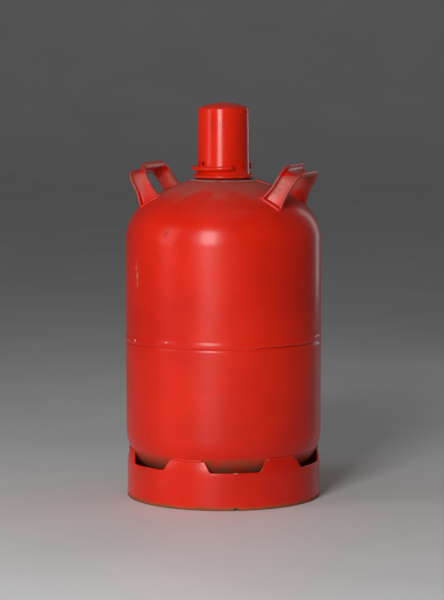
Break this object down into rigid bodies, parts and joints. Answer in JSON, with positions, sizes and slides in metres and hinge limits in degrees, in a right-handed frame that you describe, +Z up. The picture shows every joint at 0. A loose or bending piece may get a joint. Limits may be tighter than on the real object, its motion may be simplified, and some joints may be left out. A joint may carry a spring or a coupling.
{
  "type": "propane gas cylinder",
  "caption": "Upright red steel gas cylinder with domed ends, a notched foot ring, carrying handles and a screw-on guard over its valve.",
  "frame": {"origin": "middle of the foot ring's underside, on the floor", "axes": "+Z up along the cylinder's axis; the handles stand on the -X and +X sides, the +X one turned 5 degrees towards the front and the -X one 5 degrees towards the back; the valve outlet faces -Y, the front"},
  "size_m": [0.3018, 0.3018, 0.606],
  "materials": {
    "body_paint": "gloss red enamel, chipped and scratched, rust along the foot",
    "guard_paint": "gloss red enamel, lightly rubbed",
    "thread_steel": "turned steel, greased",
    "valve_brass": "forged and turned brass, dulled",
    "fixing_steel": "zinc plated",
    "seal_rubber": "black nitrile",
    "wheel_plastic": "moulded black"
  },
  "bodies": {
    "tank": {"upper_shell": "body_paint", "lower_shell": "body_paint", "girth_weld": "body_paint", "foot_ring": "body_paint", "foot_ring_welds": "body_paint", "neck_boss": "body_paint", "neck_weld": "body_paint", "neck_ring": "thread_steel", "handle_left": "body_paint", "handle_right": "body_paint", "handle_left_welds": "body_paint", "handle_right_welds": "body_paint", "data_plate": "body_paint", "valve_body": "valve_brass", "valve_bonnet": "valve_brass", "gland_o_ring": "seal_rubber", "relief_plug": "valve_brass", "relief_spring": "fixing_steel"},
    "guard": {"cap_shell": "guard_paint", "cap_thread_ring": "thread_steel", "cap_grip_loop": "guard_paint", "cap_loop_welds": "guard_paint", "cap_seal_lug": "guard_paint"},
    "wheel": {"handwheel": "wheel_plastic", "upper_spindle": "fixing_steel", "handwheel_washer": "fixing_steel", "handwheel_nut": "fixing_steel"},
    "needle": {"lower_spindle": "valve_brass", "seat_disc": "seal_rubber"},
    "gasket": {"outlet_gasket": "seal_rubber"},
    "plug": {"outlet_plug": "valve_brass"},
    "poppet": {"relief_poppet": "valve_brass", "relief_seal": "seal_rubber"}
  },
  "joints": [
    {"name": "guard_lift", "type": "slide", "parent": "tank", "child": "guard", "axis": [0, 0, 1], "range_m": [0, 0.12]},
    {"name": "wheel_turn", "type": "hinge", "parent": "tank", "child": "wheel", "pos_m": [0, 0, 0.578], "axis": [0, 0, 1], "range_deg": [0, 720]},
    {"name": "needle_rise", "type": "slide", "parent": "wheel", "child": "needle", "axis": [0, 0, 1], "range_m": [0, 0.003]},
    {"name": "gasket_travel", "type": "slide", "parent": "tank", "child": "gasket", "axis": [0, -1, 0], "range_m": [0, 0.00181]},
    {"name": "plug_turn", "type": "hinge", "parent": "gasket", "child": "plug", "pos_m": [0, -0.027, 0.536], "axis": [0, 1, 0], "range_deg": [0, 360]},
    {"name": "relief_travel", "type": "slide", "parent": "tank", "child": "poppet", "axis": [0, 1, 0], "range_m": [0, 0.002], "stiffness_N_per_m": 400, "springref_m": -0.002, "deforming": ["relief_spring"]}
  ],
  "couplings": [
    {"joint": "needle_rise", "follows": "wheel_turn", "m_per_rad": 0.00023873},
    {"joint": "plug_turn", "follows": "gasket_travel", "rad_per_m": 3463.7}
  ]
}
